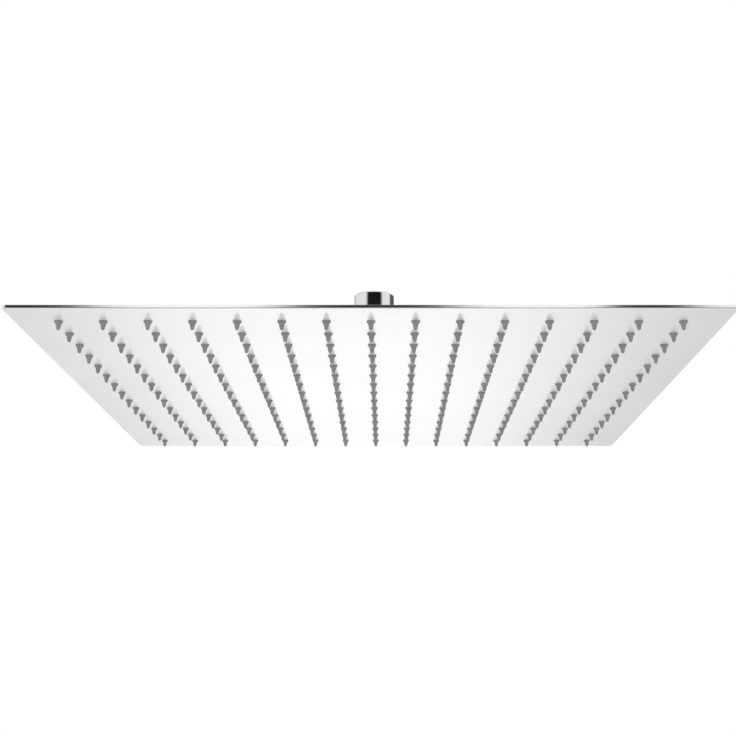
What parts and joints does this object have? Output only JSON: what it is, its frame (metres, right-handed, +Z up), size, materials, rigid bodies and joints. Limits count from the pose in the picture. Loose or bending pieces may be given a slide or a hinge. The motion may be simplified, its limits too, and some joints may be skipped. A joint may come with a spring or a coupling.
{
  "type": "rain shower head",
  "caption": "Thin square rain shower head: a polished steel pan with a field of soft spray nozzles, hung from a threaded inlet by a swivel ball joint.",
  "frame": {"origin": "centre of the inlet thread's mouth, at the top of the sleeve", "axes": "+Z up along the inlet thread, +X and +Y along the plate's sides, nozzles towards -Z"},
  "size_m": [0.4, 0.4, 0.0746],
  "materials": {
    "polished_steel": "finely polished stainless steel sheet, bright but not a mirror",
    "chrome": "bright chrome plate on brass",
    "grey_silicone": "matt moulded silicone rubber",
    "white_acetal": "plain moulded acetal",
    "black_rubber": "moulded rubber",
    "steel_mesh": "woven stainless wire"
  },
  "bodies": {
    "inlet": {"ball_stem": "chrome", "inlet_gasket": "black_rubber", "filter_screen": "steel_mesh", "flow_regulator": "white_acetal", "regulator_ring": "black_rubber"},
    "friction_ring": {"friction_ring": "white_acetal"},
    "ball_seal": {"ball_seal": "black_rubber"},
    "head": {"inlet_boss": "polished_steel", "retaining_nut": "chrome", "back_plate": "polished_steel", "face_plate": "polished_steel", "stays": "polished_steel", "nozzle_strip_01": "grey_silicone", "nozzle_strip_02": "grey_silicone", "nozzle_strip_03": "grey_silicone", "nozzle_strip_04": "grey_silicone", "nozzle_strip_05": "grey_silicone", "nozzle_strip_06": "grey_silicone", "nozzle_strip_07": "grey_silicone", "nozzle_strip_08": "grey_silicone", "nozzle_strip_09": "grey_silicone", "nozzle_strip_10": "grey_silicone", "nozzle_strip_11": "grey_silicone", "nozzle_strip_12": "grey_silicone", "nozzle_strip_13": "grey_silicone", "nozzle_strip_14": "grey_silicone", "nozzle_strip_15": "grey_silicone"}
  },
  "joints": [
    {"name": "tilt_front", "type": "hinge", "parent": "inlet", "child": "friction_ring", "pos_m": [0, 0, -0.04064], "axis": [1, 0, 0], "range_deg": [-10, 10]},
    {"name": "tilt_side", "type": "hinge", "parent": "friction_ring", "child": "ball_seal", "pos_m": [0, 0, -0.04064], "axis": [0, 1, 0], "range_deg": [-10, 10]},
    {"name": "head_turn", "type": "hinge", "parent": "ball_seal", "child": "head", "pos_m": [0, 0, -0.04064], "axis": [0, 0, 1], "continuous": true}
  ]
}
